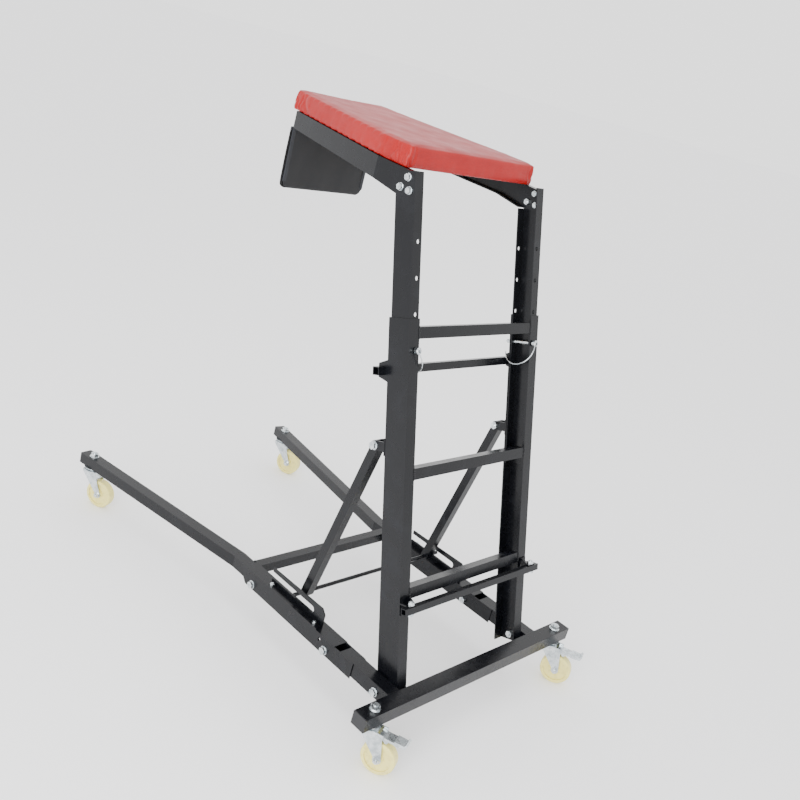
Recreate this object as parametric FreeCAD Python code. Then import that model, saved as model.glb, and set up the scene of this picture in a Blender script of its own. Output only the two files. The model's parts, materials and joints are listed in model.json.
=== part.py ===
"""Foldable topside creeper: a wheeled base, a leaning two-part ladder and a chest pad.

Frame: +X to the user's right, +Y ahead of the user, towards the far legs, +Z up.
It is drawn with Y = 0 at the middle of the rear crossbar, and written out with
the origin on the floor, under the middle of the footprint. Millimetres.
"""
import FreeCAD, Part
import os
from math import atan2, cos, degrees, hypot, radians, sin, tan

V = FreeCAD.Vector

# ---- ladder ----
LADDER_HALF = 227.0       # to the outer faces of the uprights
LEAN = 17.3               # degrees ahead of vertical
PIVOT_Y = 59.0            # ahead of the crossbar's middle
PIVOT_DROP = 23.0         # pivot below the top of the rails
UPRIGHT_WEB = 61.0
UPRIGHT_FLANGE = 30.0
UPRIGHT_WALL = 3.0
UPRIGHT_FOOT = 17.0       # below the pivot
UPRIGHT_TOP = 815.0       # above the pivot
RUNG = 25.0
RUNG_HEIGHTS = {"lower": 216.0, "middle": 481.5, "upper": UPRIGHT_TOP - 30.0}
STEP_BAR = 15.0
STEP_OVERHANG = 13.0      # past the uprights
STEP_STANDOFF = 16.0      # gap between uprights and step bar
STEP_HEIGHT = 190.5
HANDLE_BAR = 18.0
HANDLE_OVERHANG = 20.0
HANDLE_HEIGHT = UPRIGHT_TOP - 115.0
HANDLE_STANDOFF = 15.0    # middle of the bar behind the uprights

# ---- struts and the plates they stand on ----
STRUT = 22.0
STRUT_INSET = 2.5         # outer faces in from the uprights' outer faces
STRUT_X = LADDER_HALF - STRUT_INSET - STRUT / 2
STRUT_TOP_S = 534.5       # clevis pin along the ladder, from the pivot
STRUT_TOP_BACK = 32.0     # clevis pin behind the uprights
STRUT_FOOT_Y = 375.5
STRUT_FOOT_RISE = 23.0    # tie rod above the top of the rails
CLEVIS_WALL = 3.0
TIE_ROD_D = 10.0
TIE_ROD_OVERHANG = 4.5    # past the slotted plates
PLATE_WALL = 3.0
PLATE_REAR = STRUT_FOOT_Y - 107.5
PLATE_FRONT = STRUT_FOOT_Y + 91.5
PLATE_RISE = 46.0
SLOT_REAR = STRUT_FOOT_Y - 70.5
SLOT_HEIGHT = 18.0
PLATE_BOLT_D = 6.0

# ---- casters ----
WHEEL_D = 80.0
WHEEL_WIDTH = 24.0
WHEEL_ROOM = 20.6         # wheel to fork crown
TRAIL = 38.0              # axle behind the swivel axis
TRAIL_DIRECTION = -66.0   # degrees from +X, seen from above
CASTER_INSET = 40.0       # rear stems in from the crossbar's ends
LEG_CASTER_BACK = 35.0    # front stems back from the legs' ends
STEM_D = 12.0
RACE_D = 46.0
FORK_PLATE = 2.5
FORK_GAP = 1.6            # wheel to fork, each side
AXLE_D = 8.0
CROWN_DROP = 8.4          # fork crown below the tube
CROWN_WALL = 3.0
FORK_REAR = 22.0          # rear edge of a plain fork behind its swivel axis
BRAKE_HINGE_BACK = 31.0
BRAKE_HINGE_DROP = 6.0    # below the crown
BRAKE_PIN_D = 5.0

# ---- base frame ----
TUBE_WALL = 2.0
CROSSBAR_DEPTH = 38.0
CROSSBAR_HEIGHT = 32.0
BASE_TOP = WHEEL_D + WHEEL_ROOM + CROWN_WALL + CROWN_DROP + CROSSBAR_HEIGHT
RAIL_WIDTH = 40.0
RAIL_HEIGHT = 42.0
RAIL_FIT = 0.25           # between a rail and what is pushed into it
STUB_GAP = 4.25           # upright to stub, filled by a spacer
STUB_HALF = RAIL_WIDTH / 2 - TUBE_WALL - RAIL_FIT
RAIL_X = LADDER_HALF + STUB_GAP + STUB_HALF   # middle of each side rail
CROSSBAR_HALF = RAIL_X + 118.0
STUB_FRONT = 262.0
STUB_HEIGHT = 34.0
STUB_TOP_END = STUB_FRONT - 80.0   # where the stub's top wall is cut away
STUB_BOLT_Y = STUB_FRONT - 34.0
STUB_PIN_Y = STUB_FRONT - 11.0     # small locating hole
RAIL_EARS_END = 135.0     # rear end of the side cheeks
RAIL_TOP_END = STUB_TOP_END + 18.0   # rear end of the top flange
RAIL_NOSE_CHAMFER = 16.0
BASE_BOLT_DROP = 30.0     # base bolts below the top of the rails
LEG_REAR = PLATE_FRONT + 13.0
LEG_BOLT_Y = LEG_REAR + 31.0
RAIL_FRONT = LEG_REAR + 73.0
LEG_BEND_Y = RAIL_FRONT + 47.0
LEG_FRONT = 1215.0
LEG_HEIGHT = 30.0
LEG_PLAY = 1.0            # leg to rail, each side
LEG_WIDTH = RAIL_WIDTH - 2 * TUBE_WALL - 2 * LEG_PLAY
LEG_SPLAY = 9.6           # degrees outward, ahead of the bend
CROSS_TUBE = 25.0
CROSS_TUBE_REAR = RAIL_FRONT - 14.5
CAP_RIM = 3.0
PLATE_INSET = 19.0        # middle of each slotted plate in from the rail's outer face
PLATE_X = RAIL_X + RAIL_WIDTH / 2 - PLATE_INSET

# ---- telescoping upper frame ----
SLIDE_FIT = 0.3
HOLE_PITCH = 75.0
HOLES_EACH_WAY = 3
HOLE_S = UPRIGHT_TOP - 67.0          # hole of the uprights, from the pivot
HOLE_X = 19.5             # holes in from the uprights' outer faces
INNER_BOTTOM = HOLE_S - HOLES_EACH_WAY * HOLE_PITCH - 78.0
INNER_TOP = HOLE_S + HOLES_EACH_WAY * HOLE_PITCH + 141.0
INNER_BACK_TOP = INNER_TOP - 46.0    # rear flange is cut lower to let the arm out
LOCK_PIN_D = 9.5
LOCK_PLAY = 0.5
LOCK_HOLE_D = LOCK_PIN_D + LOCK_PLAY
BAIL_WIRE = 2.6
BAIL_EYE_Y = -6.5         # ahead of the uprights, in the pin's head
BAIL_DROP = 58.0
BAIL_END_DROP = 29.0      # its free end hangs inboard of the flanges
BAIL_TURN = 27.0          # degrees the bail leans inboard of straight down

# ---- pad, arms and pouch ----
PAD_AHEAD = 34.8          # near edge ahead of the inner channels' top front corner
PAD_DROP = 3.7            # underside there, below that corner
PAD_LENGTH = 490.0
PAD_TILT = 3.0
PAD_THICK = 47.5
PAD_HALF = LADDER_HALF - 8.0
PAD_TAPER_AT = 94.0       # from the near end
PAD_CORNER = 7.0
PAD_RIM = 4.0             # rounding of the top edge
BOARD_THICK = 9.0
BOARD_INSET = 10.0
ARM_WALL = 3.0
ARM_FLANGE = 20.0
ARM_TURN = 10.5           # degrees inward, ahead of the bend
ARM_BEND_FROM_PAD = 86.0
ARM_END_FROM_PAD = PAD_LENGTH - 31.0
ARM_BEND_DEPTH = 47.0
ARM_END_DEPTH = 41.0
PAD_CROSSBAR = 18.0
POUCH_HALF = 141.0
POUCH_DEPTH = 24.0
POUCH_WALL = 3.0
POUCH_HEIGHT = 178.0
POUCH_BEHIND = 18.0       # clear of the crossbar and the arms' ends
POUCH_HANG = 14.0         # its back panel starts this far below the pad
POCKET_LOWER = 22.0       # front of the pocket below the top of the back panel

# ---- origin ----
MIDDLE_Y = 565.0          # crossbar's middle to the middle of the footprint

# ---- fasteners ----
BOLT_D = 10.0
SMALL_BOLT_D = 8.0
BOLT_CLEARANCE = 0.4      # holes larger than their bolts
PIVOT_CLEARANCE = 0.15    # holes that turn on their bolt

SIDES = {"left": -1, "right": 1}
parts = {}


# ---------------------------------------------------------------- helpers
def box(x0, x1, y0, y1, z0, z1):
    """Box between two corners, whichever way round they are given."""
    low = V(min(x0, x1), min(y0, y1), min(z0, z1))
    return Part.makeBox(abs(x1 - x0), abs(y1 - y0), abs(z1 - z0), low)


def rod(x, y, z, axis, length, diameter):
    """Round bar from a point along an axis."""
    return Part.makeCylinder(diameter / 2, length, V(x, y, z), V(*axis))


def hexagon(x, y, z, axis, length, across):
    """Hexagonal bar from a point along an axis."""
    corner = across / 2 / cos(radians(30))
    ring = [V(corner * cos(radians(a)), corner * sin(radians(a)), 0) for a in range(0, 361, 60)]
    solid = Part.Face(Part.makePolygon(ring)).extrude(V(0, 0, length))
    turn = FreeCAD.Rotation(V(0, 0, 1), V(*axis))
    solid.Placement = FreeCAD.Placement(V(x, y, z), turn)
    return solid


def fused(*solids):
    """One solid from several that touch."""
    whole = solids[0]
    for solid in solids[1:]:
        whole = whole.fuse(solid)
    return whole.removeSplitter()


def plan_strip(line, offset_a, offset_b, z0, z1):
    """Upright wall that follows a line in plan, between two offsets to its right."""
    edges = []
    for offset in (offset_a, offset_b):
        edge = []
        for i, (x, y) in enumerate(line):
            ax, ay = line[max(i - 1, 0)]
            bx, by = line[min(i + 1, len(line) - 1)]
            before = atan2(y - ay, x - ax) if i else atan2(by - y, bx - x)
            after = atan2(by - y, bx - x) if i < len(line) - 1 else before
            middle = (before + after) / 2
            reach = offset / cos((after - before) / 2)
            edge.append(V(x + reach * sin(middle), y - reach * cos(middle), z0))
        edges.append(edge)
    ring = edges[0] + edges[1][::-1]
    return Part.Face(Part.makePolygon(ring + ring[:1])).extrude(V(0, 0, z1 - z0))


def side_profile(points, x0, x1):
    """Plate with an outline given in Y and Z, between two X values."""
    ring = [V(min(x0, x1), y, z) for y, z in points]
    return Part.Face(Part.makePolygon(ring + ring[:1])).extrude(V(abs(x1 - x0), 0, 0))


def bolt_and_nut(x, y, z, axis, grip, diameter, washer=1.6):
    """Hex bolt with its washer under the head, and its nut past the grip."""
    ax = V(*axis)
    start = V(x, y, z)
    across = 1.6 * diameter
    head_low = start - ax * (0.65 * diameter + washer)
    nut_low = start + ax * grip
    end = grip + 0.8 * diameter + 2.5
    bolt = fused(
        hexagon(head_low.x, head_low.y, head_low.z, axis, 0.65 * diameter, across),
        rod(*(start - ax * washer), axis, end + washer, diameter),
    )
    ring = rod(*(start - ax * washer), axis, washer, 2.1 * diameter)
    ring = ring.cut(rod(*(start - ax * (washer + 1)), axis, washer + 2, diameter + 0.3))
    nut = hexagon(nut_low.x, nut_low.y, nut_low.z, axis, 0.8 * diameter, across)
    nut = nut.cut(rod(*(nut_low - ax), axis, 0.8 * diameter + 2, diameter + 0.2))
    return [bolt, ring, nut]


def on_ladder(solid):
    """Carry a solid from the ladder's own frame to its place.

    In the ladder's frame Y runs forward from the user's face and Z runs up
    the uprights from the foot pivot.
    """
    solid = solid.copy()
    solid.translate(V(0, -UPRIGHT_WEB / 2, 0))
    solid.rotate(V(0, 0, 0), V(1, 0, 0), -LEAN)
    solid.translate(V(0, PIVOT_Y, BASE_TOP - PIVOT_DROP))
    return solid


def ladder_point(forward, up):
    """World Y and Z of a point given in the ladder's frame."""
    n = forward - UPRIGHT_WEB / 2
    lean = radians(LEAN)
    y = PIVOT_Y + n * cos(lean) + up * sin(lean)
    z = BASE_TOP - PIVOT_DROP - n * sin(lean) + up * cos(lean)
    return y, z


def mirrored(solid):
    return solid.mirror(V(0, 0, 0), V(1, 0, 0))


def sided(solid, side):
    """A solid is drawn on the right; the left one is its mirror image."""
    return solid if side > 0 else mirrored(solid)


# ---------------------------------------------------------------- base
def rear_crossbar():
    half_depth = CROSSBAR_DEPTH / 2
    low = BASE_TOP - CROSSBAR_HEIGHT
    w = TUBE_WALL
    tube = box(-CROSSBAR_HALF, CROSSBAR_HALF, -half_depth, half_depth, low, BASE_TOP)
    inside = box(-CROSSBAR_HALF - 1, CROSSBAR_HALF + 1, w - half_depth, half_depth - w, low + w, BASE_TOP - w)
    tube = tube.cut(inside)
    for side in SIDES.values():
        x = side * (CROSSBAR_HALF - CASTER_INSET)
        tube = tube.cut(rod(x, 0, low - 1, (0, 0, 1), CROSSBAR_HEIGHT + 2, STEM_D + BOLT_CLEARANCE))
    parts["rear_crossbar"] = tube
    caps = []
    for side in SIDES.values():
        rim = box(side * CROSSBAR_HALF, side * (CROSSBAR_HALF + CAP_RIM), -half_depth, half_depth, low, BASE_TOP)
        gap = w + 0.2
        plug = box(
            side * (CROSSBAR_HALF - 12), side * CROSSBAR_HALF,
            gap - half_depth, half_depth - gap, low + gap, BASE_TOP - gap,
        )
        caps.append(fused(rim, plug))
    parts["crossbar_end_caps"] = Part.makeCompound(caps)


def stub():
    """Short tube from the crossbar that carries the upright and enters the rail."""
    half = STUB_HALF
    top = BASE_TOP - TUBE_WALL - RAIL_FIT
    low = top - STUB_HEIGHT
    rear = CROSSBAR_DEPTH / 2
    w = TUBE_WALL
    tube = box(RAIL_X - half, RAIL_X + half, rear, STUB_FRONT, low, top)
    tube = tube.cut(box(RAIL_X - half + w, RAIL_X + half - w, rear - 1, STUB_FRONT + 1, low + w, top - w))
    tube = tube.cut(box(RAIL_X - half - 1, RAIL_X + half + 1, STUB_TOP_END, STUB_FRONT + 1, top - w, top + 1))
    reach = RAIL_WIDTH + 4
    start = RAIL_X - reach / 2
    hole = BOLT_D + BOLT_CLEARANCE
    tube = tube.cut(rod(start, STUB_BOLT_Y, BASE_TOP - BASE_BOLT_DROP, (1, 0, 0), reach, hole))
    tube = tube.cut(rod(start, PIVOT_Y, BASE_TOP - PIVOT_DROP, (1, 0, 0), reach, hole))
    tube = tube.cut(rod(start, STUB_PIN_Y, BASE_TOP - BASE_BOLT_DROP / 2, (1, 0, 0), reach, 8))
    for name, side in SIDES.items():
        parts["stub_" + name] = sided(tube, side)


def rail():
    """Channel open below; its side cheeks run back over the stub."""
    half = RAIL_WIDTH / 2
    low = BASE_TOP - RAIL_HEIGHT
    w = TUBE_WALL
    nose = RAIL_NOSE_CHAMFER
    outline = [
        (RAIL_EARS_END, low), (RAIL_EARS_END, BASE_TOP), (RAIL_FRONT, BASE_TOP),
        (RAIL_FRONT, low + nose), (RAIL_FRONT - nose, low),
    ]
    solid = side_profile(outline, RAIL_X - half, RAIL_X + half)
    solid = solid.cut(box(RAIL_X - half + w, RAIL_X + half - w, 0, RAIL_FRONT + 1, low - 1, BASE_TOP - w))
    solid = solid.cut(box(RAIL_X - half - 1, RAIL_X + half + 1, 0, RAIL_TOP_END, BASE_TOP - w, BASE_TOP + 1))
    reach = RAIL_WIDTH + 4
    start = RAIL_X - reach / 2
    hole = BOLT_D + BOLT_CLEARANCE
    for y in (STUB_BOLT_Y, LEG_BOLT_Y):
        solid = solid.cut(rod(start, y, BASE_TOP - BASE_BOLT_DROP, (1, 0, 0), reach, hole))
    solid = solid.cut(rod(start, STUB_PIN_Y, BASE_TOP - BASE_BOLT_DROP / 2, (1, 0, 0), reach, 8))
    for y in bracket_bolt_places():
        solid = solid.cut(rod(bracket_bolt_x(), y, BASE_TOP - 5, (0, 0, 1), 10, PLATE_BOLT_D + BOLT_CLEARANCE))
    for name, side in SIDES.items():
        parts["rail_" + name] = sided(solid, side)


def leg_line():
    """Middle of the right leg in plan, from its rear end to its front end."""
    reach = LEG_FRONT - LEG_BEND_Y
    return [(RAIL_X, LEG_REAR), (RAIL_X, LEG_BEND_Y), (RAIL_X + reach * tan(radians(LEG_SPLAY)), LEG_FRONT)]


def leg_stem_place():
    """Plan position of the right front caster's stem."""
    x, y = leg_line()[-1]
    turn = radians(LEG_SPLAY)
    return x - LEG_CASTER_BACK * sin(turn), y - LEG_CASTER_BACK * cos(turn)


def leg():
    half = LEG_WIDTH / 2
    top = BASE_TOP - TUBE_WALL - RAIL_FIT
    low = top - LEG_HEIGHT
    w = TUBE_WALL
    line = leg_line()
    (x1, y1), (x2, y2) = line[-2:]
    further = [line[0], line[1], (x2 + (x2 - x1) * 0.01, y2 + (y2 - y1) * 0.01)]
    further[0] = (RAIL_X, LEG_REAR - 5)
    tube = plan_strip(line, -half, half, low, top)
    tube = tube.cut(plan_strip(further, w - half, half - w, low + w, top - w))
    hole = BOLT_D + BOLT_CLEARANCE
    reach = LEG_WIDTH + 4
    tube = tube.cut(rod(RAIL_X - reach / 2, LEG_BOLT_Y, BASE_TOP - BASE_BOLT_DROP, (1, 0, 0), reach, hole))
    sx, sy = leg_stem_place()
    tube = tube.cut(rod(sx, sy, low - 1, (0, 0, 1), LEG_HEIGHT + 2, STEM_D + BOLT_CLEARANCE))
    turn = radians(LEG_SPLAY)
    cap_line = [(x2, y2), (x2 + CAP_RIM * sin(turn), y2 + CAP_RIM * cos(turn))]
    plug_line = [(x2 - 12 * sin(turn), y2 - 12 * cos(turn)), (x2, y2)]
    gap = w + 0.2
    cap = fused(
        plan_strip(cap_line, -half, half, low, top),
        plan_strip(plug_line, gap - half, half - gap, low + gap, top - gap),
    )
    caps = []
    for name, side in SIDES.items():
        parts["leg_" + name] = sided(tube, side)
        caps.append(sided(cap, side))
    parts["leg_end_caps"] = Part.makeCompound(caps)


def cross_tube():
    """Square tube between the rails' inner faces."""
    half = RAIL_X - RAIL_WIDTH / 2
    y0 = CROSS_TUBE_REAR
    top = BASE_TOP - 2
    w = TUBE_WALL
    tube = box(-half, half, y0, y0 + CROSS_TUBE, top - CROSS_TUBE, top)
    tube = tube.cut(box(-half - 1, half + 1, y0 + w, y0 + CROSS_TUBE - w, top - CROSS_TUBE + w, top - w))
    parts["cross_tube"] = tube


def bracket_bolt_places():
    return PLATE_REAR + 18, PLATE_FRONT - 16


def bracket_bolt_x():
    return (PLATE_X + PLATE_WALL / 2 + RAIL_X + RAIL_WIDTH / 2) / 2


def slot_bracket():
    """Angle with a long slot for the tie rod, open at its front end."""
    inner = PLATE_X - PLATE_WALL / 2
    outer = PLATE_X + PLATE_WALL / 2
    top = BASE_TOP + PLATE_RISE
    outline = [
        (PLATE_REAR, BASE_TOP), (PLATE_REAR, top - 12), (PLATE_REAR + 12, top),
        (PLATE_FRONT, top - 4), (PLATE_FRONT - 4, BASE_TOP),
    ]
    plate = side_profile(outline, inner, outer)
    middle = BASE_TOP + STRUT_FOOT_RISE
    half_height = SLOT_HEIGHT / 2
    rear = SLOT_REAR + half_height
    slot = rod(inner - 1, rear, middle, (1, 0, 0), PLATE_WALL + 2, SLOT_HEIGHT)
    slot = slot.fuse(box(inner - 1, outer + 1, rear, PLATE_FRONT + 5, middle - half_height, middle + half_height))
    plate = plate.cut(slot)
    flange = box(inner, RAIL_X + RAIL_WIDTH / 2, PLATE_REAR, PLATE_FRONT - 4, BASE_TOP, BASE_TOP + PLATE_WALL)
    bracket = fused(plate, flange)
    bolts = []
    for y in bracket_bolt_places():
        hole = rod(bracket_bolt_x(), y, BASE_TOP - 1, (0, 0, 1), PLATE_WALL + 2, PLATE_BOLT_D + BOLT_CLEARANCE)
        bracket = bracket.cut(hole)
        grip = PLATE_WALL + TUBE_WALL
        low = BASE_TOP - TUBE_WALL
        bolts += bolt_and_nut(bracket_bolt_x(), y, low, (0, 0, 1), grip, PLATE_BOLT_D, 0.8)
    group = []
    for name, side in SIDES.items():
        parts["slot_bracket_" + name] = sided(bracket, side)
        group += [sided(solid, side) for solid in bolts]
    parts["bracket_bolts"] = Part.makeCompound(group)


def base_bolts():
    """Bolts that hold stubs and legs in the rails, and the ladder's foot pivots."""
    outer = RAIL_X + RAIL_WIDTH / 2
    group = []
    for y in (STUB_BOLT_Y, LEG_BOLT_Y):
        group += bolt_and_nut(outer, y, BASE_TOP - BASE_BOLT_DROP, (-1, 0, 0), RAIL_WIDTH, BOLT_D)
    parts["base_bolts"] = Part.makeCompound(group + [mirrored(solid) for solid in group])
    stub_outer = RAIL_X + STUB_HALF
    stub_inner = RAIL_X - STUB_HALF
    web_inner = LADDER_HALF - UPRIGHT_WALL
    z = BASE_TOP - PIVOT_DROP
    pivot = bolt_and_nut(stub_outer, PIVOT_Y, z, (-1, 0, 0), stub_outer - web_inner + 0.5, BOLT_D)
    gap = stub_inner - LADDER_HALF
    spacer = rod(LADDER_HALF + 0.3, PIVOT_Y, z, (1, 0, 0), gap - 0.3, 22)
    spacer = spacer.cut(rod(LADDER_HALF, PIVOT_Y, z, (1, 0, 0), gap + 1, BOLT_D + 0.3))
    pivot.append(spacer)
    parts["pivot_bolts"] = Part.makeCompound(pivot + [mirrored(solid) for solid in pivot])


# ---------------------------------------------------------------- casters
def caster_places():
    """Name, stem position and the underside and top of the tube it is bolted to."""
    lx, ly = leg_stem_place()
    low = BASE_TOP - CROSSBAR_HEIGHT
    leg_top = BASE_TOP - TUBE_WALL - RAIL_FIT
    places = []
    for name, side in SIDES.items():
        x = side * (CROSSBAR_HALF - CASTER_INSET)
        places.append(("rear_" + name, x, 0.0, low, BASE_TOP))
        places.append(("front_" + name, side * lx, ly, leg_top - LEG_HEIGHT, leg_top))
    return places


def caster_stem(x, y, low, top):
    """Stem with its raceway, fixed under the tube, and the nut and washer on top."""
    race = Part.makeCone(RACE_D / 2 - 5, RACE_D / 2, 7, V(x, y, low - 8), V(0, 0, 1))
    race = race.fuse(rod(x, y, low - 1, (0, 0, 1), 1, RACE_D))
    pin_low = low - CROWN_DROP - CROWN_WALL - 4
    stem = fused(
        race,
        rod(x, y, pin_low, (0, 0, 1), top - pin_low + 13, STEM_D),
        rod(x, y, pin_low, (0, 0, 1), 3.6, STEM_D + 8),
    )
    washer = rod(x, y, top, (0, 0, 1), 2, 26).cut(rod(x, y, top - 1, (0, 0, 1), 5, STEM_D + 0.3))
    nut = hexagon(x, y, top + 2, (0, 0, 1), 9, 19)
    nut = nut.cut(rod(x, y, top, (0, 0, 1), 14, STEM_D + 0.2))
    return stem, [washer, nut]


def fork_outline(axle_y, axle_z, crown_z, rear):
    """Side of a fork leg: wide at the crown, round at the axle."""
    nose = 10.0
    points = [(-rear, crown_z), (20.0, crown_z), (20.0, crown_z - 6)]
    for step in range(9):
        a = radians(20 - 25 * step)
        points.append((axle_y + nose * cos(a), axle_z + nose * sin(a)))
    points.append((-rear, crown_z - (6 if rear == FORK_REAR else 16)))
    return points


def caster(name, x, y, low):
    """Fork, wheel and axle, drawn trailing along -Y and then swung round."""
    braked = name.startswith("rear")
    axle_z = WHEEL_D / 2
    crown_top = low - CROWN_DROP
    crown_low = crown_top - CROWN_WALL
    half = WHEEL_WIDTH / 2 + FORK_GAP
    rear = BRAKE_HINGE_BACK + 7 if braked else FORK_REAR
    outline = fork_outline(-TRAIL, axle_z, crown_top, rear)
    cheeks = [side_profile(outline, s * half, s * (half + FORK_PLATE)) for s in (-1, 1)]
    crown = box(-half - FORK_PLATE, half + FORK_PLATE, -FORK_REAR, 20, crown_low, crown_top)
    crown = crown.fuse(rod(0, 0, crown_low, (0, 0, 1), CROWN_WALL, RACE_D - 4))
    fork = fused(crown, *cheeks)
    fork = fork.cut(rod(0, 0, crown_low - 1, (0, 0, 1), CROWN_WALL + 2, STEM_D + PIVOT_CLEARANCE))
    reach = 2 * (half + FORK_PLATE) + 2
    fork = fork.cut(rod(-reach / 2, -TRAIL, axle_z, (1, 0, 0), reach, AXLE_D + 0.2))
    if braked:
        hinge_z = crown_low - BRAKE_HINGE_DROP
        pin_hole = rod(-reach / 2, -BRAKE_HINGE_BACK, hinge_z, (1, 0, 0), reach, BRAKE_PIN_D + PIVOT_CLEARANCE)
        fork = fork.cut(pin_hole)

    tread = rod(-WHEEL_WIDTH / 2, -TRAIL, axle_z, (1, 0, 0), WHEEL_WIDTH, WHEEL_D)
    rims = [e for e in tread.Edges if e.Curve.TypeId == "Part::GeomCircle"]
    wheel = tread.makeFillet(4.0, rims)
    for s in (-1, 1):
        dish = rod(s * WHEEL_WIDTH / 2, -TRAIL, axle_z, (-s, 0, 0), 3, WHEEL_D - 18)
        dish = dish.cut(rod(s * WHEEL_WIDTH / 2, -TRAIL, axle_z, (-s, 0, 0), 3, 26))
        wheel = wheel.cut(dish)
    wheel = wheel.cut(rod(-WHEEL_WIDTH, -TRAIL, axle_z, (1, 0, 0), 2 * WHEEL_WIDTH, AXLE_D + 4.1))

    sleeve = rod(-half + 0.2, -TRAIL, axle_z, (1, 0, 0), 2 * half - 0.4, AXLE_D + 4)
    sleeve = sleeve.cut(rod(-half, -TRAIL, axle_z, (1, 0, 0), 2 * half, AXLE_D + 0.2))
    axle = bolt_and_nut(half + FORK_PLATE, -TRAIL, axle_z, (-1, 0, 0), 2 * (half + FORK_PLATE), AXLE_D, 0.8)

    pieces = {
        "fork_" + name: [fork],
        "wheel_" + name: [wheel],
        "axle_" + name: axle + [sleeve],
    }
    if braked:
        pieces["brake_pedal_" + name[5:]] = [brake_pedal(half, hinge_z)]
    for node, solids in pieces.items():
        placed = []
        for solid in solids:
            solid = solid.copy()
            solid.rotate(V(0, 0, 0), V(0, 0, 1), TRAIL_DIRECTION + 90)
            solid.translate(V(x, y, 0))
            placed.append(solid)
        parts[node] = placed[0] if len(placed) == 1 else Part.makeCompound(placed)


def brake_pedal(half, hinge_z):
    """Foot lever on its pin in the fork's rear corners, with a shoe over the tread."""
    y = -BRAKE_HINGE_BACK
    width = half - 0.6
    lever = side_profile([
        (y - 3, hinge_z + 4), (y + 3, hinge_z + 4), (y + 3, hinge_z), (y - 8, hinge_z - 4),
        (y - 12, hinge_z - 9), (y - 17, hinge_z - 9), (y - 20, hinge_z - 3), (y - 34, hinge_z - 2),
        (y - 36, hinge_z + 3), (y - 14, hinge_z + 3),
    ], -width, width)
    flat = side_profile([
        (y - 32, hinge_z - 4), (y - 58, hinge_z - 1), (y - 61, hinge_z + 9), (y - 57, hinge_z + 11),
        (y - 54, hinge_z + 5), (y - 32, hinge_z + 6),
    ], -width, width)
    pin_half = half + FORK_PLATE + 0.5
    barrel = rod(-width, y, hinge_z, (1, 0, 0), 2 * width, 8)
    pin = rod(-pin_half, y, hinge_z, (1, 0, 0), 2 * pin_half, BRAKE_PIN_D)
    return fused(lever, flat, barrel, pin)


def casters():
    stems, nuts = [], []
    for name, x, y, low, top in caster_places():
        stem, nut = caster_stem(x, y, low, top)
        stems.append(stem)
        nuts += nut
        caster(name, x, y, low)
    parts["caster_stems"] = Part.makeCompound(stems)
    parts["caster_nuts"] = Part.makeCompound(nuts)


# ---------------------------------------------------------------- ladder
def channel(outer_x, web_x, flange_to, y0, y1, wall, z0, z1):
    """Channel open towards the middle of the ladder, in the ladder's frame."""
    solid = box(flange_to, outer_x, y0, y1, z0, z1)
    return solid.cut(box(flange_to - 1, web_x, y0 + wall, y1 - wall, z0 - 1, z1 + 1))


def uprights():
    inner = LADDER_HALF - UPRIGHT_WALL
    edge = LADDER_HALF - UPRIGHT_FLANGE
    solid = channel(LADDER_HALF, inner, edge, 0, UPRIGHT_WEB, UPRIGHT_WALL, -UPRIGHT_FOOT, UPRIGHT_TOP)
    solid = solid.cut(rod(inner - 1, UPRIGHT_WEB / 2, 0, (1, 0, 0), UPRIGHT_WALL + 2, BOLT_D + PIVOT_CLEARANCE))
    solid = solid.cut(rod(LADDER_HALF - HOLE_X, -1, HOLE_S, (0, 1, 0), UPRIGHT_WEB + 2, LOCK_HOLE_D))
    for name, side in SIDES.items():
        parts["upright_" + name] = on_ladder(sided(solid, side))


def rungs():
    edge = LADDER_HALF - UPRIGHT_FLANGE
    w = TUBE_WALL
    for name, height in RUNG_HEIGHTS.items():
        z0 = height - RUNG / 2
        tube = box(-edge, edge, 0, RUNG, z0, z0 + RUNG)
        tube = tube.cut(box(-edge - 1, edge + 1, w, RUNG - w, z0 + w, z0 + RUNG - w))
        parts["rung_" + name] = on_ladder(tube)


def step():
    """Square bar in front of the lowest rung, on two rounded brackets."""
    near = -STEP_STANDOFF - STEP_BAR
    z0 = STEP_HEIGHT - STEP_BAR / 2
    w = TUBE_WALL
    half = LADDER_HALF + STEP_OVERHANG
    bar = box(-half, half, near, near + STEP_BAR, z0, z0 + STEP_BAR)
    bar = bar.cut(box(-half - 1, half + 1, near + w, near + STEP_BAR - w, z0 + w, z0 + STEP_BAR - w))
    plate_x = LADDER_HALF - UPRIGHT_FLANGE + 6
    tip = near + STEP_BAR / 2
    tab_z = z0 + STEP_BAR
    middle = near + STEP_BAR / 2
    bolt_x = plate_x + 14
    tab = box(plate_x, plate_x + 24, near + 2, 0, tab_z, tab_z + 3)
    gusset = side_profile([(0, tab_z - 26), (0, tab_z + 14), (-8, tab_z + 14), (tip, tab_z + 3),
                           (tip, tab_z), (-5, tab_z)], plate_x, plate_x + 3)
    foot = box(plate_x, plate_x + 21, -3, 0, tab_z - 26, tab_z + 14)
    bracket = fused(tab, gusset, foot)
    hole = rod(bolt_x, middle, z0 - 1, (0, 0, 1), STEP_BAR + 6, SMALL_BOLT_D + BOLT_CLEARANCE)
    bracket = bracket.cut(hole)
    bar = bar.cut(hole).cut(mirrored(hole))
    bolts = bolt_and_nut(bolt_x, middle, z0, (0, 0, 1), STEP_BAR + 3, SMALL_BOLT_D, 0.8)
    parts["step_bar"] = on_ladder(bar)
    parts["step_brackets"] = Part.makeCompound([on_ladder(sided(bracket, s)) for s in SIDES.values()])
    group = [on_ladder(sided(solid, s)) for s in SIDES.values() for solid in bolts]
    parts["step_bolts"] = Part.makeCompound(group)


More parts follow.
